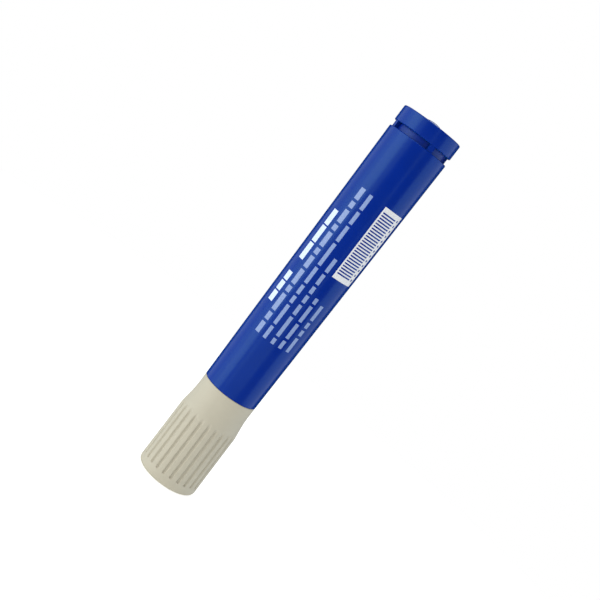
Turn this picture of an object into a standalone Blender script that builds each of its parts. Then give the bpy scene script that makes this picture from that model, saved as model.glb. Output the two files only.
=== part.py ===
"""A whiteboard marker that stands on its cap, as nine separate pieces.

The marker's axis is +Z. The closed end of the cap rests on z = 0 and the tail is at the top. The printed side
faces -Y. Every length below is in millimetres, and every angle is in degrees from -Y towards +X.
"""

import math

import bmesh
import bpy
from mathutils import Matrix

MM = 0.001
GAP = 0.3  # between neighbouring pieces

# Cap shell, outside
CAP_END_RADIUS = 10.12
CAP_END_ROUNDING = 1.2
CAP_SHOULDER_Z = 21.8  # where the grip starts to narrow towards the mouth
CAP_SHOULDER_RADIUS = 9.97
CAP_SKIRT_Z = 29.8  # where it has narrowed
CAP_SHOULDER_SKEW = 0.75  # under 1 makes the shoulder tighter than the fade above it
CAP_MOUTH_Z = 33.6
CAP_MOUTH_RADIUS = 9.2
CAP_MOUTH_ROUNDING = 0.2

# Grooves of the grip
GROOVES = 24
GROOVE_LOW_Z = 3.2
GROOVE_HALF_WIDTH = 0.5
GROOVE_DEPTH = 0.4
GROOVE_FADE_Z = 21.3  # where a groove starts to run out into the shoulder
GROOVE_TOP_Z = 23.9
GROOVE_STEPS = 6  # columns of vertices for each groove and the land beside it
GROOVE_TURN = 1.5  # from a land that is centred on the printed side

# Cap shell, inside
CAP_FLOOR_Z = 2.1
CAP_BORE = 8.1
CAP_STEP_Z = 22.1  # the seal's flange sits on this step
SEAL_HOUSING_BORE = 6.9

# Seal cup inside the cap
SEAL_RADIUS = SEAL_HOUSING_BORE - GAP
SEAL_BORE = 5.8
SEAL_FLOOR = 1.0
SEAL_FLANGE_RADIUS = CAP_BORE - GAP
SEAL_FLANGE = 1.1
SEAL_TOP_Z = CAP_STEP_Z + GAP + SEAL_FLANGE

# Barrel, outside
SHOULDER_Z = CAP_MOUTH_Z + GAP  # stops the cap
BARREL_FRONT_RADIUS = 9.2
RIM_Z = 125.6  # tail end of the barrel
RIM_RADIUS = 10.12
BARREL_EDGE = 0.2
NECK_Z = 25.5  # front end of the neck that the cap goes over
NECK_RADIUS = 7.6
BEAD_Z = 29.0
BEAD_HEIGHT = 0.2
BEAD_HALF_WIDTH = 0.6

# Barrel, inside
HOLDER_BORE = 6.5
CHAMBER_Z = 37.0
CHAMBER_FRONT_RADIUS = 7.75
CHAMBER_TAIL_RADIUS = 8.87
CHAMBER_RIBS = 6
CHAMBER_RIB_WIDTH = 1.0
CHAMBER_RIB_TOP_Z = 114.8
CHAMBER_RIB_ROOT = 8.95  # inside the barrel's wall along the whole rib

# Nib holder
HOLDER_TIP_Z = 12.0
HOLDER_TIP_RADIUS = 3.6
HOLDER_CONE_Z = 19.5
HOLDER_NOSE_RADIUS = SEAL_BORE - GAP
HOLDER_FLANGE_RADIUS = 7.3
HOLDER_FLANGE = 1.3
HOLDER_FLANGE_Z = NECK_Z - GAP - HOLDER_FLANGE
HOLDER_BACK_Z = 37.8
HOLDER_POCKET_Z = 31.0
HOLDER_POCKET_RADIUS = 5.0

# Nib
NIB_RADIUS = 2.3
NIB_TIP_Z = 6.0
NIB_POINT = 3.4  # length of the rounded point
NIB_BACK_Z = 46.0
NIB_BACK_CONE = 2.0

# Ink reservoir and its film
FILM_RADIUS = 6.9
FILM_WALL = 0.2
FILM_Z = 38.2
FILM_TOP_Z = 115.2
RESERVOIR_Z = 38.5
RESERVOIR_TOP_Z = 115.4
RESERVOIR_RADIUS = FILM_RADIUS - FILM_WALL - GAP

# Tail closure: a seal cup, and a cap with a round head above a gap that four ribs cross
HEAD_Z = 127.6
HEAD_TOP_Z = 132.6
HEAD_RADIUS = 10.06
HEAD_EDGE = 0.35
HEAD_LOWER_EDGE = 0.15
BOSS_RADIUS = 3.1
BOSS_HEIGHT = 1.0
SPIGOT_RADIUS = 6.5
SPIGOT_BORE = 5.0
SPIGOT_Z = 117.6
SPIGOT_ROOF_Z = 130.8
TAIL_SEAL_Z = 116.0
TAIL_SEAL_FLOOR = 1.2
TAIL_SEAL_RADIUS = 8.5  # shows in the gap
TAIL_RIBS = 4
TAIL_RIB_START = 21.8
TAIL_RIB_WIDTH = 10.6
TAIL_RIB_INNER = TAIL_SEAL_RADIUS + GAP
TAIL_RIB_OUTER = 9.82
TAIL_RIB_ROOT = 0.6  # of the rib inside the head

# Faces round each piece
CAP_COLUMNS = GROOVES * GROOVE_STEPS
LARGE_COLUMNS = 64
SMALL_COLUMNS = 40
EDGE_STEPS = 3
FLARE_STEPS = 8
SHARP_ANGLE = 30.0
MERGE_DISTANCE = 1e-7

# Linear colours
BARREL_BLUE = (0.008, 0.045, 0.30, 1.0)
SEAL_VIOLET = (0.014, 0.022, 0.15, 1.0)
CAP_BEIGE = (0.60, 0.56, 0.45, 1.0)
LINER_WHITE = (0.80, 0.80, 0.76, 1.0)
HOLDER_GREY = (0.62, 0.59, 0.50, 1.0)
NIB_BLUE = (0.004, 0.02, 0.16, 1.0)
FIBRE_BLUE = (0.02, 0.07, 0.36, 1.0)
FILM_PALE = (0.55, 0.64, 0.80, 1.0)


def clear_scene():
    for obj in list(bpy.data.objects):
        bpy.data.objects.remove(obj)


def material(name, colour, roughness):
    made = bpy.data.materials.new(name)
    made.use_nodes = True
    shader = made.node_tree.nodes["Principled BSDF"]
    shader.inputs["Base Color"].default_value = colour
    shader.inputs["Roughness"].default_value = roughness
    shader.inputs["Metallic"].default_value = 0.0
    return made


def arc(centre, radius, start, end, steps):
    """Points (r, z) on an arc from the angle start to the angle end, 0 being outwards and 90 upwards."""
    angles = [math.radians(start + (end - start) * i / steps) for i in range(steps + 1)]
    return [(centre[0] + radius * math.cos(a), centre[1] + radius * math.sin(a)) for a in angles]


def between(value, low, high, low_result, high_result):
    """The result for a value, on the straight line from (low, low_result) to (high, high_result)."""
    return low_result + (high_result - low_result) * (value - low) / (high - low)


def spun(outline, columns, closed):
    """Points (r, z) spun about Z. A closed outline makes a tube, and an open one starts on Z."""
    bm = bmesh.new()
    verts = [bm.verts.new((r * MM, 0, z * MM)) for r, z in outline]
    pairs = list(zip(verts, verts[1:]))
    if closed:
        pairs.append((verts[-1], verts[0]))
    edges = [bm.edges.new(pair) for pair in pairs]
    bmesh.ops.spin(
        bm,
        geom=verts + edges,
        cent=(0, 0, 0),
        axis=(0, 0, 1),
        angle=2 * math.pi,
        steps=columns,
        use_merge=True,
    )
    bmesh.ops.remove_doubles(bm, verts=bm.verts, dist=MERGE_DISTANCE)
    return bm


def finish(bm, name, look=None):
    """The mesh as a new object with outward faces, smooth round surfaces and sharp edges."""
    bmesh.ops.recalc_face_normals(bm, faces=bm.faces)
    mesh = bpy.data.meshes.new(name)
    bm.to_mesh(mesh)
    bm.free()
    mesh.shade_smooth()
    mesh.set_sharp_from_angle(angle=math.radians(SHARP_ANGLE))
    obj = bpy.data.objects.new(name, mesh)
    bpy.context.scene.collection.objects.link(obj)
    if look:
        mesh.materials.append(look)
    return obj


def add_sector(bm, inner, outer, low, high, middle, width):
    """Part of a flat ring, centred on the angle middle."""
    corners = ((inner, low), (outer, low), (outer, high), (inner, high))
    sections = []
    for i in range(EDGE_STEPS + 1):
        angle = math.radians(middle - 90 + width * (i / EDGE_STEPS - 0.5))
        across, along = math.cos(angle), math.sin(angle)
        sections.append([bm.verts.new((r * across * MM, r * along * MM, z * MM)) for r, z in corners])
    for near, far in zip(sections, sections[1:]):
        for j in range(len(corners)):
            k = (j + 1) % len(corners)
            bm.faces.new((near[j], near[k], far[k], far[j]))
    bm.faces.new(sections[0])
    bm.faces.new(sections[-1])


def combine(obj, helper, operation):
    """Cuts the helper from the object, or joins it to the object. The helper isn't a piece."""
    helper.hide_render = True
    helper.display_type = "WIRE"
    modifier = obj.modifiers.new(helper.name, "BOOLEAN")
    modifier.operation = operation
    modifier.solver = "EXACT"
    modifier.object = helper


def grip_line(z):
    """Radius of the grip's straight side, carried on past its ends."""
    return between(z, 0, CAP_SHOULDER_Z, CAP_END_RADIUS, CAP_SHOULDER_RADIUS)


def cap_flare():
    """Points (r, z) from the grip's shoulder to the skirt."""
    points = []
    for i in range(1, FLARE_STEPS + 1):
        share = i / FLARE_STEPS
        skewed = share**CAP_SHOULDER_SKEW
        fall = skewed * skewed * (3 - 2 * skewed)
        radius = CAP_SHOULDER_RADIUS + (CAP_MOUTH_RADIUS - CAP_SHOULDER_RADIUS) * fall
        points.append((radius, between(share, 0, 1, CAP_SHOULDER_Z, CAP_SKIRT_Z)))
    return points


def cap_outside():
    """Points (r, z) from the middle of the closed end to the mouth, closely spaced at a groove's end."""
    flat = CAP_END_RADIUS - CAP_END_ROUNDING
    points = [(0, 0)] + arc((flat, CAP_END_ROUNDING), CAP_END_ROUNDING, -90, 0, EDGE_STEPS + 1)
    for share in (0, 0.2, 0.5, 1):
        z = GROOVE_LOW_Z + GROOVE_HALF_WIDTH * share
        points.append((grip_line(z), z))
    points.append((CAP_SHOULDER_RADIUS, CAP_SHOULDER_Z))
    points += cap_flare()
    points.append((CAP_MOUTH_RADIUS, CAP_MOUTH_Z - CAP_MOUTH_ROUNDING))
    points.append((CAP_MOUTH_RADIUS - CAP_MOUTH_ROUNDING, CAP_MOUTH_Z))
    return points


def groove_depth(z):
    """Depth of a groove's middle, which fades out at the shoulder."""
    share = min(1, max(0, between(z, GROOVE_FADE_Z, GROOVE_TOP_Z, 1, 0)))
    return GROOVE_DEPTH * share * share * (3 - 2 * share)


def press_grooves(bm):
    """Gathers the columns of the outer surface at each groove, and moves them inwards to its floor."""
    pitch = 360 / GROOVES
    half_angle = math.degrees(GROOVE_HALF_WIDTH / CAP_END_RADIUS)
    squeeze = half_angle / (pitch / 2 - pitch / GROOVE_STEPS)
    outside = CAP_MOUTH_RADIUS - 2 * CAP_MOUTH_ROUNDING
    for vert in bm.verts:
        radius = math.hypot(vert.co.x, vert.co.y) / MM
        if radius < outside:
            continue
        z = vert.co.z / MM
        angle = math.degrees(math.atan2(vert.co.y, vert.co.x))
        middle = (math.floor(angle / pitch) + 0.5) * pitch
        offset = angle - middle
        if abs(offset) < pitch / 2 - pitch / GROOVE_STEPS / 2:
            offset *= squeeze
        below = max(0, GROOVE_LOW_Z + GROOVE_HALF_WIDTH - z)
        away = min(1, math.hypot(math.radians(offset) * radius, below) / GROOVE_HALF_WIDTH)
        radius -= groove_depth(z) * (1 - away * away)
        turn = math.radians(middle + offset)
        vert.co.x = radius * math.cos(turn) * MM
        vert.co.y = radius * math.sin(turn) * MM


def make_cap_shell(look):
    """A cup with a grooved grip at its closed end, and a step inside that carries the seal."""
    draft = 0.5
    outline = cap_outside()
    outline.append((CAP_BORE + CAP_MOUTH_ROUNDING, CAP_MOUTH_Z))
    outline.append((CAP_BORE, CAP_MOUTH_Z - CAP_MOUTH_ROUNDING))
    outline += [(CAP_BORE, CAP_STEP_Z), (SEAL_HOUSING_BORE, CAP_STEP_Z)]
    outline += [(SEAL_HOUSING_BORE, CAP_FLOOR_Z + draft), (SEAL_HOUSING_BORE - draft, CAP_FLOOR_Z)]
    outline.append((0, CAP_FLOOR_Z))
    bm = spun(outline, CAP_COLUMNS, closed=False)
    press_grooves(bm)
    turn = Matrix.Rotation(math.radians(GROOVE_TURN), 3, "Z")
    bmesh.ops.rotate(bm, verts=bm.verts, cent=(0, 0, 0), matrix=turn)
    finish(bm, "cap_shell", look)


def make_cap_inner_seal(look):
    """A thin cup with a flange, which closes round the nose of the nib holder."""
    low = CAP_FLOOR_Z + GAP
    edge = 0.7
    lead_in = 0.4
    flange_z = CAP_STEP_Z + GAP
    outline = [(0, low), (SEAL_RADIUS - edge, low), (SEAL_RADIUS, low + edge), (SEAL_RADIUS, flange_z)]
    outline += [(SEAL_FLANGE_RADIUS, flange_z), (SEAL_FLANGE_RADIUS, SEAL_TOP_Z)]
    outline += [(SEAL_BORE + lead_in, SEAL_TOP_Z), (SEAL_BORE, SEAL_TOP_Z - lead_in)]
    outline += [(SEAL_BORE, low + SEAL_FLOOR), (0, low + SEAL_FLOOR)]
    finish(spun(outline, SMALL_COLUMNS, closed=False), "cap_inner_seal", look)


def neck_outline():
    """Points (r, z) along the outside of the barrel's neck, with the bead that holds the cap on."""
    edge = 0.4
    crest = NECK_RADIUS + BEAD_HEIGHT
    points = [(NECK_RADIUS - edge, NECK_Z), (NECK_RADIUS, NECK_Z + edge)]
    points += [(NECK_RADIUS, BEAD_Z - BEAD_HALF_WIDTH), (crest, BEAD_Z - BEAD_HEIGHT)]
    points += [(crest, BEAD_Z + BEAD_HEIGHT), (NECK_RADIUS, BEAD_Z + BEAD_HALF_WIDTH)]
    return points + [(NECK_RADIUS, SHOULDER_Z)]


def make_barrel(look):
    """A tube that widens towards the tail, with a neck for the cap and inner ribs round the reservoir."""
    outline = [(HOLDER_BORE, NECK_Z)] + neck_outline()
    outline.append((BARREL_FRONT_RADIUS - BARREL_EDGE, SHOULDER_Z))
    outline.append((BARREL_FRONT_RADIUS, SHOULDER_Z + BARREL_EDGE))
    outline += [(RIM_RADIUS, RIM_Z - BARREL_EDGE), (RIM_RADIUS - BARREL_EDGE, RIM_Z)]
    outline += [(CHAMBER_TAIL_RADIUS, RIM_Z), (CHAMBER_FRONT_RADIUS, CHAMBER_Z), (HOLDER_BORE, CHAMBER_Z)]
    barrel = finish(spun(outline, LARGE_COLUMNS, closed=True), "barrel", look)

    ribs = bmesh.new()
    inner = FILM_RADIUS + GAP
    low = CHAMBER_Z - CHAMBER_RIB_WIDTH
    depth, height = CHAMBER_RIB_ROOT - inner, CHAMBER_RIB_TOP_Z - low
    size = Matrix.Diagonal((depth, CHAMBER_RIB_WIDTH, height, 1 / MM))
    centre = Matrix.Translation(((inner + depth / 2) * MM, 0, (low + height / 2) * MM))
    for i in range(CHAMBER_RIBS):
        turn = Matrix.Rotation(2 * math.pi * i / CHAMBER_RIBS, 4, "Z")
        bmesh.ops.create_cube(ribs, size=1, matrix=turn @ centre @ (size * MM))
    combine(barrel, finish(ribs, "chamber_ribs"), "UNION")


def make_nib_holder(look):
    """The nose: it plugs the front of the barrel and grips the nib."""
    edge = 0.3
    chamfer = 0.6
    sleeve = HOLDER_BORE - GAP
    bore = NIB_RADIUS + GAP
    flange_top = HOLDER_FLANGE_Z + HOLDER_FLANGE
    outline = [(bore, HOLDER_TIP_Z), (HOLDER_TIP_RADIUS - edge, HOLDER_TIP_Z)]
    outline += [(HOLDER_TIP_RADIUS, HOLDER_TIP_Z + edge), (HOLDER_NOSE_RADIUS, HOLDER_CONE_Z)]
    outline += [(HOLDER_NOSE_RADIUS, HOLDER_FLANGE_Z), (HOLDER_FLANGE_RADIUS, HOLDER_FLANGE_Z)]
    outline += [(HOLDER_FLANGE_RADIUS, flange_top), (sleeve, flange_top)]
    outline += [(sleeve, HOLDER_BACK_Z - chamfer), (sleeve - chamfer, HOLDER_BACK_Z)]
    outline += [(HOLDER_POCKET_RADIUS, HOLDER_BACK_Z), (HOLDER_POCKET_RADIUS, HOLDER_POCKET_Z)]
    outline.append((bore, HOLDER_POCKET_Z - 2 * chamfer))
    finish(spun(outline, SMALL_COLUMNS, closed=True), "nib_holder", look)


def make_nib(look):
    """A fibre rod with a bullet point below, and a blunt cone at its back in the reservoir."""
    steps = 7
    outline = [(0, NIB_TIP_Z)]
    for i in range(1, steps + 1):
        angle = math.pi / 2 * i / steps
        outline.append((NIB_RADIUS * math.sin(angle), NIB_TIP_Z + NIB_POINT * (1 - math.cos(angle))))
    outline += [(NIB_RADIUS, NIB_BACK_Z - NIB_BACK_CONE), (NIB_RADIUS / 2, NIB_BACK_Z), (0, NIB_BACK_Z)]
    finish(spun(outline, SMALL_COLUMNS, closed=False), "nib", look)


def make_ink_reservoir(look):
    """The fibre core, with a socket for the back of the nib."""
    socket = NIB_RADIUS + GAP
    socket_top = NIB_BACK_Z + GAP
    outline = [(0, socket_top), (socket, socket_top), (socket, RESERVOIR_Z), (RESERVOIR_RADIUS, RESERVOIR_Z)]
    outline += [(RESERVOIR_RADIUS, RESERVOIR_TOP_Z), (0, RESERVOIR_TOP_Z)]
    finish(spun(outline, SMALL_COLUMNS, closed=False), "ink_reservoir", look)


def make_reservoir_film(look):
    """The film that the core is wrapped in, open at both ends."""
    inner = FILM_RADIUS - FILM_WALL
    outline = [(inner, FILM_Z), (FILM_RADIUS, FILM_Z), (FILM_RADIUS, FILM_TOP_Z), (inner, FILM_TOP_Z)]
    finish(spun(outline, SMALL_COLUMNS, closed=True), "reservoir_film", look)


def make_tail_seal(look):
    """A cup pressed into the tail. Its upper end shows in the gap, behind the ribs."""
    edge = 0.5
    bore = SPIGOT_RADIUS + GAP
    top = HEAD_Z - GAP
    outline = [(0, TAIL_SEAL_Z), (TAIL_SEAL_RADIUS - edge, TAIL_SEAL_Z)]
    outline += [(TAIL_SEAL_RADIUS, TAIL_SEAL_Z + edge), (TAIL_SEAL_RADIUS, top), (bore, top)]
    outline += [(bore, TAIL_SEAL_Z + TAIL_SEAL_FLOOR), (0, TAIL_SEAL_Z + TAIL_SEAL_FLOOR)]
    finish(spun(outline, LARGE_COLUMNS, closed=False), "tail_seal", look)


def make_tail_cap(look):
    """The round head with a low boss, a hollow spigot in the seal, and four ribs down to the barrel's rim."""
    boss_steps = 4
    chamfer = 0.4
    outline = [(0, HEAD_TOP_Z + BOSS_HEIGHT)]
    for i in range(1, boss_steps + 1):
        angle = math.pi / 2 * i / boss_steps
        outline.append((BOSS_RADIUS * math.sin(angle), HEAD_TOP_Z + BOSS_HEIGHT * math.cos(angle)))
    outline += arc((HEAD_RADIUS - HEAD_EDGE, HEAD_TOP_Z - HEAD_EDGE), HEAD_EDGE, 90, 0, EDGE_STEPS)
    outline += [(HEAD_RADIUS, HEAD_Z + HEAD_LOWER_EDGE), (HEAD_RADIUS - HEAD_LOWER_EDGE, HEAD_Z)]
    outline += [(SPIGOT_RADIUS, HEAD_Z), (SPIGOT_RADIUS, SPIGOT_Z + chamfer)]
    outline += [(SPIGOT_RADIUS - chamfer, SPIGOT_Z), (SPIGOT_BORE, SPIGOT_Z)]
    outline += [(SPIGOT_BORE, SPIGOT_ROOF_Z), (0, SPIGOT_ROOF_Z)]
    cap = finish(spun(outline, LARGE_COLUMNS, closed=False), "tail_cap", look)
    ribs = bmesh.new()
    low, high = RIM_Z + GAP, HEAD_Z + TAIL_RIB_ROOT
    for i in range(TAIL_RIBS):
        middle = TAIL_RIB_START + i * 360 / TAIL_RIBS
        add_sector(ribs, TAIL_RIB_INNER, TAIL_RIB_OUTER, low, high, middle, TAIL_RIB_WIDTH)
    combine(cap, finish(ribs, "tail_ribs"), "UNION")


def main():
    clear_scene()
    make_cap_shell(material("cap_plastic", CAP_BEIGE, 0.55))
    make_cap_inner_seal(material("liner_plastic", LINER_WHITE, 0.4))
    make_barrel(material("barrel_plastic", BARREL_BLUE, 0.22))
    make_nib_holder(material("holder_plastic", HOLDER_GREY, 0.4))
    make_nib(material("nib_fibre", NIB_BLUE, 0.85))
    make_ink_reservoir(material("reservoir_fibre", FIBRE_BLUE, 0.9))
    make_reservoir_film(material("film_plastic", FILM_PALE, 0.25))
    make_tail_seal(material("collar_plastic", SEAL_VIOLET, 0.4))
    make_tail_cap(material("tail_plastic", BARREL_BLUE, 0.24))


main()
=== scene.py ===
"""The looks of a whiteboard marker that stands on its cap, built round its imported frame.

Lengths are in millimetres and angles in degrees, until a mesh is made. An angle round the marker is
measured from the printed front (-Y) towards +X. Outlines are lists of (radius, height) points, turned about
the Z axis.
"""

import math
import random

import bmesh
import bpy
from mathutils import Matrix, Vector


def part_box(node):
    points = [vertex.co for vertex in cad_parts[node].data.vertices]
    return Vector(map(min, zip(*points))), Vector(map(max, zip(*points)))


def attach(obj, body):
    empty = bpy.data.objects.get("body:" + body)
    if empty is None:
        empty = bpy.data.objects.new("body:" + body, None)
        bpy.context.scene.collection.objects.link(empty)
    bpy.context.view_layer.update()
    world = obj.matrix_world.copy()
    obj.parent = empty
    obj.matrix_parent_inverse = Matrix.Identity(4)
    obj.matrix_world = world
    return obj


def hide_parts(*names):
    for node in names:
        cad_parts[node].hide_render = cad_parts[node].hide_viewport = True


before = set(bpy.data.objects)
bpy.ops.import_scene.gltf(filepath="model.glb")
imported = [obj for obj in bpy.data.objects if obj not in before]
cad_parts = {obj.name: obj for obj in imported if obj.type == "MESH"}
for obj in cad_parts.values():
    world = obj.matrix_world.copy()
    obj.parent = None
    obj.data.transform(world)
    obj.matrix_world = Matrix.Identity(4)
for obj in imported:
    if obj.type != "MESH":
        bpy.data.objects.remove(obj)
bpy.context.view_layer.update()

MM = 0.001

# What the frame gives, read once: each CAD node's lowest and highest height, and its radius
LOW = {node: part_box(node)[0].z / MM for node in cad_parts}
TOP = {node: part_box(node)[1].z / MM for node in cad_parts}
RADIUS = {node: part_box(node)[1].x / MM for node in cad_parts}

# Meshes
ROUND = 256
SMALL_ROUND = 128
FILLET_STEPS = 6
SECTOR_STEP = 2.0  # widest angle between two sections of a part ring
SHARP_ANGLE = 40.0
ON_AXIS = 1e-6

# Cap, outside
CAP_EDGE = 1.2
CAP_SHOULDER_Z = 21.8
CAP_SHOULDER_RADIUS = 9.97
CAP_SHOULDER_SKEW = 0.75
CAP_SHOULDER_STEPS = 40
CAP_SKIRT_Z = 29.8
CAP_MOUTH_RADIUS = 9.2

# Grooves of the grip
GROOVES = 24
GROOVE_TURN = 1.5
GROOVE_COLUMNS = 20
GROOVE_LOW_Z = 3.2
GROOVE_HALF_WIDTH = 0.55
GROOVE_DEPTH = 0.55
GROOVE_ROUNDNESS = 0.8
GROOVE_FADE_Z = 21.6
GROOVE_TOP_Z = 24.4
GROOVE_END_STEPS = 14
GROOVED_WALL = 0.6  # what lies deeper than this under the mouth's radius isn't pressed in

# Heights of the plain rings of the cap: on the grip below and above the grooves' ends, and on the skirt
GRIP_START_Z = 2.0
GRIP_LOW_HEIGHTS = (2.8, 3.15)
GRIP_HEIGHTS = (6.0, 10.0, 14.0, 18.0, CAP_SHOULDER_Z)
SKIRT_RING_Z = 30.8

# Cap, inside
CAP_BORE = 8.1
CAP_STEP_Z = 22.1
CAP_HOUSING_BORE = 6.9
CAP_FLOOR_Z = 2.1

# Seal cup
SEAL_RADIUS = 6.6
SEAL_BORE = 5.8
SEAL_FLOOR = 1.0
SEAL_FLANGE = 1.1

# Barrel
BARREL_FRONT_RADIUS = 9.2
BARREL_SHOULDER_Z = 33.65
NECK_RADIUS = 7.6
BEAD_RADIUS = 7.8
BEAD_Z = 29.0
BEAD_HALF_WIDTH = 0.6
HOLDER_BORE = 6.5
CHAMBER_Z = 37.0
CHAMBER_FRONT_RADIUS = 7.75
CHAMBER_TAIL_RADIUS = 8.87

# Tail closure
HEAD_RADIUS = 10.06
HEAD_Z = 127.6
HEAD_TOP_Z = 132.6
HEAD_ROOF = 1.8
BOSS_RADIUS = 3.1
BOSS_HEIGHT = 1.0
BOSS_STEPS = 20
SPIGOT_RADIUS = 6.5
SPIGOT_BORE = 5.0
COLLAR_RADIUS = 8.5
COLLAR_BORE = 6.8
COLLAR_FLOOR = 1.2
TAIL_SEAM = 0.02  # left open below the head and above the barrel's rim
TAIL_RIBS = 4
TAIL_RIB_START = 21.8
TAIL_RIB_WIDTH = 10.6
TAIL_RIB_INNER = 8.55
TAIL_RIB_OUTER = 9.82
TAIL_RIB_ROOT = 0.5  # how far each rib runs on inside the head

# Nib holder
HOLDER_TIP_RADIUS = 3.6
HOLDER_NOSE_RADIUS = 5.5
HOLDER_CONE_Z = 19.5
HOLDER_FLANGE_Z = 23.9
HOLDER_FLANGE_TOP_Z = 25.2
HOLDER_SLEEVE_RADIUS = 6.2
HOLDER_POCKET_RADIUS = 5.0
HOLDER_POCKET_Z = 31.0
HOLDER_POCKET_FLOOR_Z = 29.8

# Nib and reservoir
NIB_RADIUS = 2.3
NIB_SOCKET_RADIUS = 2.6
NIB_POINT = 3.4
NIB_POINT_STEPS = 24
NIB_BACK_CONE = 2.0
NIB_END_GAP = 0.3
FILM_WALL = 0.2

# Print on the barrel: generic bars and even stripes. A row is its middle angle, its width, and its lowest and
# highest height
INK_LIFT = 0.012
STRIPE_LIFT = 0.02
MARK_ROOT = 0.02  # how far each mark reaches into the barrel's wall
HEADLINE = (-48.5, 12.5)
HEADLINE_BARS = ((64.0, 67.4), (67.9, 71.0), (71.5, 74.5), (79.2, 84.9), (85.4, 91.0), (91.5, 96.7))
BAR_ROWS = (
    (-28.5, 9.5, 54.5, 106.4),
    (-10.2, 6.8, 54.4, 106.1),
    (7.2, 6.8, 54.4, 85.4),
    (24.0, 7.0, 54.5, 72.9),
    (41.8, 7.4, 54.7, 71.8),
)
BAR_SHORTEST = 1.6
BAR_LONGEST = 8.0
BAR_SPACE = 0.9
BAR_SEED = 7
PANEL_START = 20.0
PANEL_END = 68.0
PANEL_LOW_Z = 80.7
PANEL_TOP_Z = 106.0
STRIPES_START = 23.0
STRIPES_END = 55.0
STRIPES_LOW_Z = 82.4
STRIPES_TOP_Z = 105.2
STRIPE_WIDTH = 0.46
STRIPE_PITCH = 0.9
DOTS_START = 59.5
DOTS_END = 63.5
DOT_LENGTH = 0.7
DOT_PITCH = 1.8

# Colours, linear
PLASTIC_BLUE = (0.0002, 0.0155, 0.224)
COLLAR_VIOLET = (0.001, 0.018, 0.26)
CAP_BEIGE = (0.458, 0.427, 0.330)
LINER_WHITE = (0.76, 0.76, 0.72)
HOLDER_GREY = (0.58, 0.55, 0.45)
NIB_BLUE = (0.006, 0.028, 0.2)
RESERVOIR_BLUE = (0.02, 0.07, 0.36)
FILM_PALE = (0.5, 0.6, 0.78)
HEADLINE_WHITE = (0.62, 0.72, 0.86)
ROW_WHITE = (0.22, 0.31, 0.56)
PANEL_WHITE = (0.72, 0.73, 0.74)
FLOOR_WHITE = (0.8, 0.8, 0.8)
BACKDROP_WHITE = (1.0, 1.0, 1.0)

# Most of a noise's values lie between these
NOISE_LOW = 0.3
NOISE_HIGH = 0.7

# Camera
LENS = 62.4
SENSOR = 36.0
CLIP_START = 10.0
CLIP_END = 20000.0
CAMERA_PLACE = (0.06, -308.0, 110.6)
CAMERA_AIM = (0.06, 0.0, 68.4)
CAMERA_ROLL = 37.35

# Light. A softbox is its name, azimuth, height above the floor and distance, its own width and height, its
# radiance and its colour
WHITE_LIGHT = (1.0, 1.0, 1.0)
COOL_LIGHT = (0.84, 0.96, 1.1)
AQUA_LIGHT = (0.84, 1.0, 1.12)
SOFTBOXES = (
    ("softbox_left", -58, 160, 600, 380, 900, 1.85, WHITE_LIGHT),
    ("softbox_left_far", -84, 160, 600, 180, 900, 1.17, AQUA_LIGHT),
    ("softbox_left_near", -30, 160, 600, 190, 900, 0.55, WHITE_LIGHT),
    ("softbox_back_left", -114, 160, 700, 560, 900, 0.7, AQUA_LIGHT),
    ("softbox_right", 98, 160, 700, 900, 900, 0.83, COOL_LIGHT),
    ("strip_right", 29, 160, 700, 60, 900, 0.6, WHITE_LIGHT),
    ("bounce_front", 0, -70, 400, 420, 140, 0.5, WHITE_LIGHT),
    ("softbox_high", -10, 620, 420, 420, 420, 1.6, WHITE_LIGHT),
    ("softbox_top", 180, 700, 500, 500, 500, 2.5, WHITE_LIGHT),
)
LIGHT_AIM_Z = 68.0
WORLD_FILL = 0.47
WORLD_REFLECTED = 0.0
WORLD_SEEN = 1.0

# Floor
FLOOR_HALF_SIZE = 4000.0
FLOOR_DROP = 0.02
FLOOR_GLOW = 0.55
FLOOR_FADE_START = 40.0
FLOOR_FADE_END = 260.0


# ---------------------------------------------------------------- meshes


def smooth(share):
    """Goes from 0 to 1 as the share does, with level ends."""
    share = min(1.0, max(0.0, share))
    return share * share * (3 - 2 * share)


def rounded(corners, closed):
    """Turns corners (r, z, fillet radius) into outline points, with an arc where there is a fillet."""
    points = []
    for i, (r, z, fillet) in enumerate(corners):
        here = Vector((r, z))
        end = not closed and i in (0, len(corners) - 1)
        if end or not fillet:
            points.append(here)
            continue
        back = (Vector(corners[i - 1][:2]) - here).normalized()
        on = (Vector(corners[(i + 1) % len(corners)][:2]) - here).normalized()
        half = back.angle(on) / 2
        centre = here + (back + on).normalized() * fillet / math.sin(half)
        reach = fillet / math.tan(half)
        first = here + back * reach - centre
        last = here + on * reach - centre
        for k in range(FILLET_STEPS + 1):
            points.append(centre + first.slerp(last, k / FILLET_STEPS).normalized() * fillet)
    return [(p.x, p.y) for p in points]


def point(angle, r, z):
    turn = math.radians(angle - 90)
    return Vector((r * math.cos(turn), r * math.sin(turn), z)) * MM


def new_object(bm, name, material):
    bmesh.ops.recalc_face_normals(bm, faces=bm.faces)
    mesh = bpy.data.meshes.new(name)
    bm.to_mesh(mesh)
    bm.free()
    mesh.shade_smooth()
    mesh.set_sharp_from_angle(angle=math.radians(SHARP_ANGLE))
    mesh.materials.append(material)
    obj = bpy.data.objects.new(name, mesh)
    bpy.context.scene.collection.objects.link(obj)
    return obj


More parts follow.
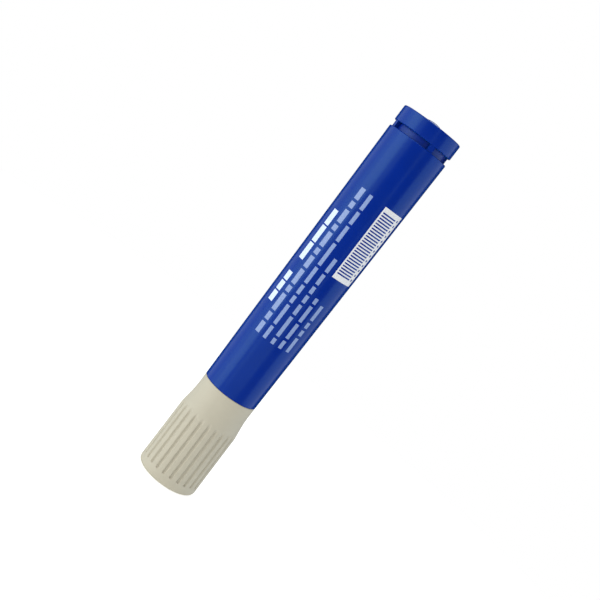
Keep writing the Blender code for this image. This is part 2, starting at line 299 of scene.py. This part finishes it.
def add_turned(bm, outline, columns, closed, shape=None):
    """Adds an outline turned about Z. shape(angle, r, z) may move each point."""
    rows = []
    for r, z in outline:
        if r < ON_AXIS:
            rows.append([bm.verts.new((0, 0, z * MM))])
            continue
        row = []
        for i in range(columns):
            place = (i * 360 / columns, r, z)
            if shape:
                place = shape(*place)
            row.append(bm.verts.new(point(*place)))
        rows.append(row)
    pairs = list(zip(rows, rows[1:]))
    if closed:
        pairs.append((rows[-1], rows[0]))
    for low, high in pairs:
        for i in range(columns):
            j = (i + 1) % columns
            corners = [low[i % len(low)], low[j % len(low)], high[j % len(high)], high[i % len(high)]]
            bm.faces.new(dict.fromkeys(corners))


def turned(name, outline, columns, material, closed=False, shape=None):
    bm = bmesh.new()
    add_turned(bm, outline, columns, closed, shape)
    return new_object(bm, name, material)


def add_sector(bm, inner, outer, low, high, start, end):
    """Part of a ring. inner and outer are functions of the height."""
    steps = max(1, math.ceil(abs(end - start) / SECTOR_STEP))
    sections = []
    for i in range(steps + 1):
        angle = start + (end - start) * i / steps
        corners = ((inner(low), low), (outer(low), low), (outer(high), high), (inner(high), high))
        sections.append([bm.verts.new(point(angle, r, z)) for r, z in corners])
    for near, far in zip(sections, sections[1:]):
        for j in range(len(near)):
            k = (j + 1) % len(near)
            bm.faces.new((near[j], near[k], far[k], far[j]))
    bm.faces.new(sections[0])
    bm.faces.new(sections[-1])


# ---------------------------------------------------------------- materials


class Look:
    """A Principled material whose colour, roughness and bump come from nodes in the object's own space."""

    def __init__(self, name, colour, roughness):
        self.material = bpy.data.materials.new(name)
        self.material.use_nodes = True
        self.nodes = self.material.node_tree.nodes
        self.links = self.material.node_tree.links
        self.shader = self.nodes["Principled BSDF"]
        self.shader.inputs["Base Color"].default_value = (*colour, 1)
        self.shader.inputs["Roughness"].default_value = roughness
        self.colour = colour
        self.space = self.nodes.new("ShaderNodeTexCoord").outputs["Object"]
        self.normal = None

    def tint_highlights(self, colour):
        self.shader.inputs["Specular Tint"].default_value = (*colour, 1)

    def add_sheen(self, weight, roughness):
        self.shader.inputs["Sheen Weight"].default_value = weight
        self.shader.inputs["Sheen Roughness"].default_value = roughness

    def noise(self, size, detail=3.0, stretch=(1, 1, 1)):
        """Noise whose grains are about size millimetres, longer along the axes that stretch names."""
        mapping = self.nodes.new("ShaderNodeMapping")
        mapping.inputs["Scale"].default_value = [1 / (size * MM * s) for s in stretch]
        self.links.new(self.space, mapping.inputs["Vector"])
        noise = self.nodes.new("ShaderNodeTexNoise")
        noise.inputs["Scale"].default_value = 1.0
        noise.inputs["Detail"].default_value = detail
        self.links.new(mapping.outputs["Vector"], noise.inputs["Vector"])
        return noise.outputs["Fac"]

    def ranged(self, source, low, high, out_low, out_high):
        node = self.nodes.new("ShaderNodeMapRange")
        for name, value in (("From Min", low), ("From Max", high), ("To Min", out_low), ("To Max", out_high)):
            node.inputs[name].default_value = value
        self.links.new(source, node.inputs["Value"])
        return node.outputs["Result"]

    def vary_colour(self, source, dark, light):
        """The colour goes from dark times itself to light times itself along the source."""
        ramp = self.nodes.new("ShaderNodeValToRGB")
        ends = ramp.color_ramp.elements
        ends[0].position = NOISE_LOW
        ends[1].position = NOISE_HIGH
        ends[0].color = (*[c * dark for c in self.colour], 1)
        ends[1].color = (*[min(1, c * light) for c in self.colour], 1)
        self.links.new(source, ramp.inputs["Fac"])
        self.links.new(ramp.outputs["Color"], self.shader.inputs["Base Color"])

    def vary_roughness(self, source, low, high):
        self.links.new(self.ranged(source, NOISE_LOW, NOISE_HIGH, low, high), self.shader.inputs["Roughness"])

    def bump(self, source, height):
        """Adds relief to what there is already. height is in millimetres."""
        node = self.nodes.new("ShaderNodeBump")
        node.inputs["Distance"].default_value = height * MM
        self.links.new(source, node.inputs["Height"])
        if self.normal:
            self.links.new(self.normal, node.inputs["Normal"])
        self.normal = node.outputs["Normal"]
        self.links.new(self.normal, self.shader.inputs["Normal"])


def gloss_blue(name, roughness=0.22):
    look = Look(name, PLASTIC_BLUE, roughness)
    look.tint_highlights((0.42, 0.90, 1.0))
    look.add_sheen(weight=0.06, roughness=0.4)
    look.shader.inputs["Sheen Tint"].default_value = (0.05, 0.85, 1.0, 1)
    look.vary_colour(look.noise(size=9.0), dark=0.96, light=1.04)
    look.vary_roughness(look.noise(size=5.0, detail=2.0), low=roughness - 0.015, high=roughness + 0.02)
    look.bump(look.noise(size=2.2, detail=2.0), height=0.004)
    return look.material


def collar_violet():
    look = Look("collar_violet", COLLAR_VIOLET, 0.32)
    look.tint_highlights((0.55, 0.85, 1.0))
    look.vary_colour(look.noise(size=3.0), dark=0.9, light=1.1)
    look.vary_roughness(look.noise(size=0.6), low=0.28, high=0.38)
    look.bump(look.noise(size=0.4, detail=4.0), height=0.01)
    return look.material


def cap_beige():
    look = Look("cap_beige", CAP_BEIGE, 0.5)
    look.add_sheen(weight=0.15, roughness=0.35)
    look.vary_colour(look.noise(size=4.0), dark=0.985, light=1.015)
    look.vary_roughness(look.noise(size=0.8), low=0.46, high=0.58)
    look.bump(look.noise(size=0.16, detail=4.0), height=0.012)
    look.bump(look.noise(size=1.4, detail=2.0), height=0.004)
    return look.material


def liner_white():
    look = Look("liner_white", LINER_WHITE, 0.42)
    look.shader.inputs["Subsurface Weight"].default_value = 0.15
    look.shader.inputs["Subsurface Scale"].default_value = 0.6 * MM
    look.vary_colour(look.noise(size=2.0), dark=0.95, light=1.03)
    look.vary_roughness(look.noise(size=0.5), low=0.36, high=0.5)
    look.bump(look.noise(size=0.3), height=0.008)
    return look.material


def holder_grey():
    look = Look("holder_grey", HOLDER_GREY, 0.4)
    look.vary_colour(look.noise(size=2.5), dark=0.96, light=1.03)
    look.vary_roughness(look.noise(size=0.5), low=0.34, high=0.46)
    look.bump(look.noise(size=0.25), height=0.008)
    return look.material


def fibre(name, colour, grain):
    """Bundled fibres that run along the marker, stained with ink."""
    look = Look(name, colour, 0.85)
    strands = look.noise(size=grain, detail=5.0, stretch=(1, 1, 22))
    look.vary_colour(strands, dark=0.55, light=1.6)
    look.vary_roughness(look.noise(size=0.4), low=0.75, high=0.95)
    look.bump(strands, height=0.05)
    return look.material


def film_clear():
    look = Look("film_clear", FILM_PALE, 0.25)
    look.vary_colour(look.noise(size=6.0, detail=2.0, stretch=(1, 1, 5)), dark=0.9, light=1.08)
    look.vary_roughness(look.noise(size=1.5), low=0.2, high=0.34)
    look.bump(look.noise(size=1.2, detail=2.0, stretch=(1, 1, 6)), height=0.02)
    return look.material


def ink(name, colour):
    """Screen-printed ink, a little uneven."""
    look = Look(name, colour, 0.4)
    look.vary_colour(look.noise(size=0.5, detail=4.0), dark=0.88, light=1.05)
    look.vary_roughness(look.noise(size=0.3), low=0.35, high=0.5)
    look.bump(look.noise(size=0.2, detail=4.0), height=0.006)
    return look.material


# ---------------------------------------------------------------- cap


def grip_line(z):
    """Radius of the grip's straight side."""
    end_radius = RADIUS["cap_shell"]
    return end_radius + (CAP_SHOULDER_RADIUS - end_radius) * z / CAP_SHOULDER_Z


def groove_shape(angle, r, z):
    """Turns the cap a little, and presses its outer surface in along each groove."""
    if r < CAP_MOUTH_RADIUS - GROOVED_WALL:
        return angle + GROOVE_TURN, r, z
    pitch = 360 / GROOVES
    middle = (math.floor(angle / pitch) + 0.5) * pitch
    across = math.radians(angle - middle) * r
    below = max(0.0, GROOVE_LOW_Z + GROOVE_HALF_WIDTH - z)
    away = min(1.0, math.hypot(across, below) / GROOVE_HALF_WIDTH)
    depth = GROOVE_DEPTH * smooth((GROOVE_TOP_Z - z) / (GROOVE_TOP_Z - GROOVE_FADE_Z))
    return angle + GROOVE_TURN, r - depth * (1 - away * away) ** GROOVE_ROUNDNESS, z


def cap_outline():
    """From the middle of the closed end, up the outside and down the inside to the middle of the floor."""
    end_radius = RADIUS["cap_shell"]
    mouth_z = TOP["cap_shell"]
    closed_end = [(0, 0, 0), (end_radius, 0, CAP_EDGE), (grip_line(GRIP_START_Z), GRIP_START_Z, 0)]
    points = rounded(closed_end, closed=False)
    points += [(grip_line(z), z) for z in GRIP_LOW_HEIGHTS]
    for i in range(GROOVE_END_STEPS + 1):
        turn = math.pi / 2 * i / GROOVE_END_STEPS
        z = GROOVE_LOW_Z + GROOVE_HALF_WIDTH * (1 - math.cos(turn))
        points.append((grip_line(z), z))
    points += [(grip_line(z), z) for z in GRIP_HEIGHTS]
    for i in range(1, CAP_SHOULDER_STEPS + 1):
        share = i / CAP_SHOULDER_STEPS
        fall = smooth(share ** CAP_SHOULDER_SKEW)
        z = CAP_SHOULDER_Z + (CAP_SKIRT_Z - CAP_SHOULDER_Z) * share
        points.append((CAP_SHOULDER_RADIUS + (CAP_MOUTH_RADIUS - CAP_SHOULDER_RADIUS) * fall, z))
    inside = [
        (CAP_MOUTH_RADIUS, SKIRT_RING_Z, 0),
        (CAP_MOUTH_RADIUS, mouth_z, 0.2),
        (CAP_BORE, mouth_z, 0.25),
        (CAP_BORE, CAP_STEP_Z, 0.2),
        (CAP_HOUSING_BORE, CAP_STEP_Z, 0.3),
        (CAP_HOUSING_BORE, CAP_FLOOR_Z, 0.8),
        (0, CAP_FLOOR_Z, 0),
    ]
    return points + rounded(inside, closed=False)


def make_cap():
    cap = turned("cap", cap_outline(), GROOVES * GROOVE_COLUMNS, cap_beige(), shape=groove_shape)
    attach(cap, "cap")
    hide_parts("cap_shell")


def make_seal():
    low, top = LOW["cap_inner_seal"], TOP["cap_inner_seal"]
    flange_radius = RADIUS["cap_inner_seal"]
    corners = [
        (0, low, 0),
        (SEAL_RADIUS, low, 0.8),
        (SEAL_RADIUS, top - SEAL_FLANGE, 0.15),
        (flange_radius, top - SEAL_FLANGE, 0.2),
        (flange_radius, top, 0.25),
        (SEAL_BORE, top, 0.35),
        (SEAL_BORE, low + SEAL_FLOOR, 0.6),
        (0, low + SEAL_FLOOR, 0),
    ]
    seal = turned("seal_cup", rounded(corners, closed=False), SMALL_ROUND, liner_white())
    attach(seal, "cap_seal")
    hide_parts("cap_inner_seal")


# ---------------------------------------------------------------- barrel


def barrel_radius(z):
    """The barrel's outer radius at a height."""
    tail_radius = RADIUS["barrel"]
    share = (z - BARREL_SHOULDER_Z) / (TOP["barrel"] - BARREL_SHOULDER_Z)
    return BARREL_FRONT_RADIUS + (tail_radius - BARREL_FRONT_RADIUS) * share


def make_barrel():
    low, top = LOW["barrel"], TOP["barrel"]
    corners = [
        (HOLDER_BORE, low, 0.15),
        (NECK_RADIUS, low, 0.4),
        (NECK_RADIUS, BEAD_Z - BEAD_HALF_WIDTH, 0.3),
        (BEAD_RADIUS, BEAD_Z, 0.25),
        (NECK_RADIUS, BEAD_Z + BEAD_HALF_WIDTH, 0.3),
        (NECK_RADIUS, BARREL_SHOULDER_Z, 0.1),
        (BARREL_FRONT_RADIUS, BARREL_SHOULDER_Z, 0.15),
        (RADIUS["barrel"], top, 0.3),
        (CHAMBER_TAIL_RADIUS, top, 0.1),
        (CHAMBER_FRONT_RADIUS, CHAMBER_Z, 0.1),
        (HOLDER_BORE, CHAMBER_Z, 0.2),
    ]
    look = gloss_blue("barrel_blue")
    barrel = turned("barrel_tube", rounded(corners, closed=True), ROUND, look, closed=True)
    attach(barrel, "barrel")
    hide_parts("barrel")


def make_tail_cap():
    """The head with its domed boss, the spigot inside the barrel, and the ribs across the gap."""
    bm = bmesh.new()
    outline = [(0, HEAD_TOP_Z + BOSS_HEIGHT)]
    for i in range(1, BOSS_STEPS):
        turn = math.pi / 2 * i / BOSS_STEPS
        outline.append((BOSS_RADIUS * math.sin(turn), HEAD_TOP_Z + BOSS_HEIGHT * math.cos(turn)))
    corners = [
        (BOSS_RADIUS, HEAD_TOP_Z, 0),
        (HEAD_RADIUS, HEAD_TOP_Z, 0.35),
        (HEAD_RADIUS, HEAD_Z, 0.3),
        (SPIGOT_RADIUS, HEAD_Z, 0.2),
        (SPIGOT_RADIUS, LOW["tail_cap"], 0.3),
        (SPIGOT_BORE, LOW["tail_cap"], 0.2),
        (SPIGOT_BORE, HEAD_TOP_Z - HEAD_ROOF, 0.5),
        (0, HEAD_TOP_Z - HEAD_ROOF, 0),
    ]
    add_turned(bm, outline + rounded(corners, closed=False), ROUND, closed=False)
    low, high = TOP["barrel"] + TAIL_SEAM, HEAD_Z + TAIL_RIB_ROOT
    for i in range(TAIL_RIBS):
        middle = TAIL_RIB_START + i * 360 / TAIL_RIBS
        start, end = middle - TAIL_RIB_WIDTH / 2, middle + TAIL_RIB_WIDTH / 2
        add_sector(bm, lambda z: TAIL_RIB_INNER, lambda z: TAIL_RIB_OUTER, low, high, start, end)
    cap = new_object(bm, "tail_head", gloss_blue("head_blue", 0.24))
    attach(cap, "barrel")
    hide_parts("tail_cap")


def make_collar():
    low, top = LOW["tail_seal"], HEAD_Z - TAIL_SEAM
    corners = [
        (0, low, 0),
        (COLLAR_RADIUS, low, 0.5),
        (COLLAR_RADIUS, top, 0.1),
        (COLLAR_BORE, top, 0),
        (COLLAR_BORE, low + COLLAR_FLOOR, 0.3),
        (0, low + COLLAR_FLOOR, 0),
    ]
    collar = turned("tail_collar", rounded(corners, closed=False), ROUND, collar_violet())
    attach(collar, "barrel")
    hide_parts("tail_seal")


# ---------------------------------------------------------------- nib and reservoir


def make_nib_holder():
    low, top = LOW["nib_holder"], TOP["nib_holder"]
    flange_radius = RADIUS["nib_holder"]
    corners = [
        (NIB_SOCKET_RADIUS, low, 0.15),
        (HOLDER_TIP_RADIUS, low, 0.3),
        (HOLDER_NOSE_RADIUS, HOLDER_CONE_Z, 1.5),
        (HOLDER_NOSE_RADIUS, HOLDER_FLANGE_Z, 0.2),
        (flange_radius, HOLDER_FLANGE_Z, 0.2),
        (flange_radius, HOLDER_FLANGE_TOP_Z, 0.2),
        (HOLDER_SLEEVE_RADIUS, HOLDER_FLANGE_TOP_Z, 0.15),
        (HOLDER_SLEEVE_RADIUS, top, 0.5),
        (HOLDER_POCKET_RADIUS, top, 0.2),
        (HOLDER_POCKET_RADIUS, HOLDER_POCKET_Z, 0.3),
        (NIB_SOCKET_RADIUS, HOLDER_POCKET_FLOOR_Z, 0.3),
    ]
    holder = turned("nose", rounded(corners, closed=True), SMALL_ROUND, holder_grey(), closed=True)
    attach(holder, "barrel")
    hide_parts("nib_holder")


def make_nib():
    low, top = LOW["nib"], TOP["nib"]
    outline = [(0, low)]
    for i in range(1, NIB_POINT_STEPS + 1):
        turn = math.pi / 2 * i / NIB_POINT_STEPS
        outline.append((NIB_RADIUS * math.sin(turn), low + NIB_POINT * (1 - math.cos(turn))))
    outline += [(NIB_RADIUS, top - NIB_BACK_CONE), (NIB_RADIUS / 2, top), (0, top)]
    nib = turned("bullet_nib", outline, SMALL_ROUND, fibre("nib_fibre", NIB_BLUE, 0.12))
    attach(nib, "barrel")
    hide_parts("nib")


def make_reservoir():
    """The fibre core, with a socket for the nib's back end."""
    low, top = LOW["ink_reservoir"], TOP["ink_reservoir"]
    radius = RADIUS["ink_reservoir"]
    socket_top = TOP["nib"] + NIB_END_GAP
    corners = [
        (0, socket_top, 0),
        (NIB_SOCKET_RADIUS, socket_top, 0.3),
        (NIB_SOCKET_RADIUS, low, 0.2),
        (radius, low, 0.4),
        (radius, top, 0.4),
        (0, top, 0),
    ]
    look = fibre("reservoir_fibre", RESERVOIR_BLUE, 0.3)
    core = turned("ink_core", rounded(corners, closed=False), SMALL_ROUND, look)
    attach(core, "barrel")
    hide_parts("ink_reservoir")


def make_film():
    """The film that the fibre core is wrapped in."""
    low, top = LOW["reservoir_film"], TOP["reservoir_film"]
    outer = RADIUS["reservoir_film"]
    inner = outer - FILM_WALL
    edge = 0.05
    corners = [(inner, low, edge), (outer, low, edge), (outer, top, edge), (inner, top, edge)]
    film = turned("core_film", rounded(corners, closed=True), SMALL_ROUND, film_clear(), closed=True)
    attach(film, "barrel")
    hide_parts("reservoir_film")


# ---------------------------------------------------------------- printed marks


def add_mark(bm, start, end, low, high, lift=INK_LIFT):
    """A patch of ink on the barrel, between two angles and two heights."""

    def root(z):
        return barrel_radius(z) - MARK_ROOT

    def surface(z):
        return barrel_radius(z) + lift

    add_sector(bm, root, surface, low, high, start, end)


def add_bar_row(bm, rng, middle, width, low, high):
    """A row of plain bars of uneven length, which stands for a line of small print."""
    z = low
    while z < high:
        end = z + rng.uniform(BAR_SHORTEST, BAR_LONGEST)
        if end > high - BAR_SPACE - BAR_SHORTEST:
            end = high
        add_mark(bm, middle - width / 2, middle + width / 2, z, end)
        z = end + BAR_SPACE


def add_even_row(bm, start, end, length, pitch):
    """Marks of one length and one spacing, up the whole height of the stripes."""
    z = STRIPES_LOW_Z
    while z + length <= STRIPES_TOP_Z:
        add_mark(bm, start, end, z, z + length, STRIPE_LIFT)
        z += pitch


def make_print():
    bm = bmesh.new()
    middle, width = HEADLINE
    for low, high in HEADLINE_BARS:
        add_mark(bm, middle - width / 2, middle + width / 2, low, high)
    headline = new_object(bm, "print_headline", ink("headline_ink", HEADLINE_WHITE))

    rng = random.Random(BAR_SEED)
    bm = bmesh.new()
    for row in BAR_ROWS:
        add_bar_row(bm, rng, *row)
    rows = new_object(bm, "print_rows", ink("row_ink", ROW_WHITE))

    bm = bmesh.new()
    add_mark(bm, PANEL_START, PANEL_END, PANEL_LOW_Z, PANEL_TOP_Z)
    panel = new_object(bm, "print_panel", ink("panel_ink", PANEL_WHITE))

    bm = bmesh.new()
    add_even_row(bm, STRIPES_START, STRIPES_END, STRIPE_WIDTH, STRIPE_PITCH)
    add_even_row(bm, DOTS_START, DOTS_END, DOT_LENGTH, DOT_PITCH)
    stripes = new_object(bm, "print_stripes", gloss_blue("stripe_blue"))

    for obj in (headline, rows, panel, stripes):
        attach(obj, "barrel")


# ---------------------------------------------------------------- stage


def aim(obj, place, target, roll=0.0):
    place, target = Vector(place) * MM, Vector(target) * MM
    turn = (target - place).to_track_quat("-Z", "Y").to_matrix().to_4x4()
    obj.matrix_world = Matrix.Translation(place) @ turn @ Matrix.Rotation(math.radians(roll), 4, "Z")


def make_camera():
    data = bpy.data.cameras.new("camera")
    data.lens = LENS
    data.sensor_width = SENSOR
    data.clip_start = CLIP_START * MM
    data.clip_end = CLIP_END * MM
    camera = bpy.data.objects.new("camera", data)
    bpy.context.scene.collection.objects.link(camera)
    aim(camera, CAMERA_PLACE, CAMERA_AIM, CAMERA_ROLL)
    bpy.context.scene.camera = camera


def add_softbox(name, azimuth, height, distance, width, tall, radiance, colour):
    """A rectangular softbox on the side that the azimuth gives, facing the middle of the marker."""
    data = bpy.data.lights.new(name, "AREA")
    data.shape = "RECTANGLE"
    data.size = width * MM
    data.size_y = tall * MM
    data.energy = radiance * math.pi * data.size * data.size_y
    data.color = colour
    light = bpy.data.objects.new(name, data)
    light.visible_camera = False
    bpy.context.scene.collection.objects.link(light)
    place = point(azimuth, distance, height) / MM
    aim(light, place, (0, 0, LIGHT_AIM_Z))


def make_world():
    """White to the camera, dark to reflections, and about half as bright to everything else."""
    world = bpy.data.worlds.new("studio")
    bpy.context.scene.world = world
    world.use_nodes = True
    nodes, links = world.node_tree.nodes, world.node_tree.links
    path = nodes.new("ShaderNodeLightPath")
    shader = nodes["Background"]
    shader.inputs["Color"].default_value = (*BACKDROP_WHITE, 1)
    shader.inputs["Strength"].default_value = WORLD_FILL
    for ray, strength in (("Is Glossy Ray", WORLD_REFLECTED), ("Is Camera Ray", WORLD_SEEN)):
        seen = nodes.new("ShaderNodeBackground")
        seen.inputs["Color"].default_value = (*BACKDROP_WHITE, 1)
        seen.inputs["Strength"].default_value = strength
        mix = nodes.new("ShaderNodeMixShader")
        links.new(path.outputs[ray], mix.inputs[0])
        links.new(shader.outputs[0], mix.inputs[1])
        links.new(seen.outputs[0], mix.inputs[2])
        shader = mix
    links.new(shader.outputs[0], nodes["World Output"].inputs["Surface"])
    bpy.context.scene.view_settings.view_transform = "Standard"


def make_floor():
    """A pale floor with a faint shadow near the marker, which fades into the white backdrop further out."""
    bm = bmesh.new()
    bmesh.ops.create_grid(bm, x_segments=1, y_segments=1, size=FLOOR_HALF_SIZE * MM)
    look = Look("floor_white", FLOOR_WHITE, 0.9)
    look.shader.inputs["Emission Color"].default_value = (*BACKDROP_WHITE, 1)
    look.shader.inputs["Emission Strength"].default_value = FLOOR_GLOW
    length = look.nodes.new("ShaderNodeVectorMath")
    length.operation = "LENGTH"
    look.links.new(look.space, length.inputs[0])
    fade = look.ranged(length.outputs["Value"], FLOOR_FADE_START * MM, FLOOR_FADE_END * MM, 0, 1)
    backdrop = look.nodes.new("ShaderNodeEmission")
    mix = look.nodes.new("ShaderNodeMixShader")
    look.links.new(fade, mix.inputs[0])
    look.links.new(look.shader.outputs[0], mix.inputs[1])
    look.links.new(backdrop.outputs[0], mix.inputs[2])
    look.links.new(mix.outputs[0], look.nodes["Material Output"].inputs["Surface"])
    floor = new_object(bm, "floor", look.material)
    floor.location.z = -FLOOR_DROP * MM
    floor.visible_glossy = False
    floor.visible_shadow = False


make_camera()
make_cap()
make_seal()
make_barrel()
make_tail_cap()
make_collar()
make_nib_holder()
make_nib()
make_reservoir()
make_film()
make_print()
for softbox in SOFTBOXES:
    add_softbox(*softbox)
make_world()
make_floor()
